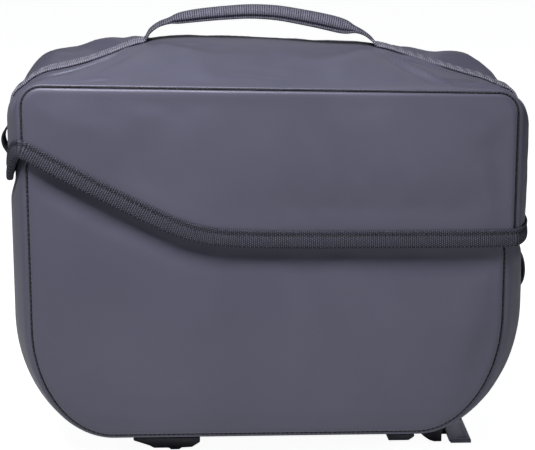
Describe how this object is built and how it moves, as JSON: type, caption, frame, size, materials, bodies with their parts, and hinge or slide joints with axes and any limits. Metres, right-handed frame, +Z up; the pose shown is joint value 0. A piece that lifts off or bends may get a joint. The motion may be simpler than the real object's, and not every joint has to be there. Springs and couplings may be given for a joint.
{
  "type": "bicycle trunk bag",
  "caption": "Boxy coated-fabric bag for a bicycle rack: rounded lower body, hood with a slanting bound edge, webbing handle, end loops and a plastic rack foot with a release lever.",
  "frame": {"origin": "on the surface that the bag stands on, under the centre of its bounding box", "axes": "+X along the bag towards the release lever, +Z up, -Y out of the front panel that the picture shows"},
  "size_m": [0.403, 0.2036, 0.334],
  "materials": {
    "coated_fabric": "smooth matte polyurethane coating on padded fabric",
    "binding_webbing": "ribbed woven edge binding",
    "strap_webbing": "ribbed woven webbing",
    "loop_webbing": "black woven webbing",
    "black_plastic": "moulded, fine grain",
    "grey_plastic": "moulded, fine grain",
    "pin_steel": "plain drawn wire"
  },
  "bodies": {
    "bag": {"lower_gusset": "coated_fabric", "lower_front_panel": "coated_fabric", "lower_back_panel": "coated_fabric", "hood_gusset": "coated_fabric", "hood_front_panel": "coated_fabric", "hood_back_panel": "coated_fabric", "hood_binding": "binding_webbing", "carry_strap": "strap_webbing", "pull_loop": "loop_webbing", "light_loop": "loop_webbing", "closure_patch": "loop_webbing", "base_plate": "black_plastic", "front_runner": "black_plastic", "back_runner": "black_plastic", "front_pad": "black_plastic", "back_pad": "black_plastic", "lever_housing": "black_plastic", "lever_pin": "pin_steel"},
    "lever": {"release_lever": "grey_plastic"}
  },
  "joints": [
    {"name": "lever_hinge", "type": "hinge", "parent": "bag", "child": "lever", "pos_m": [0.1425, 0, 0.01], "axis": [0, -1, 0], "range_deg": [0, 22], "stiffness_Nm_per_rad": 0.2, "springref_deg": -11.46}
  ]
}
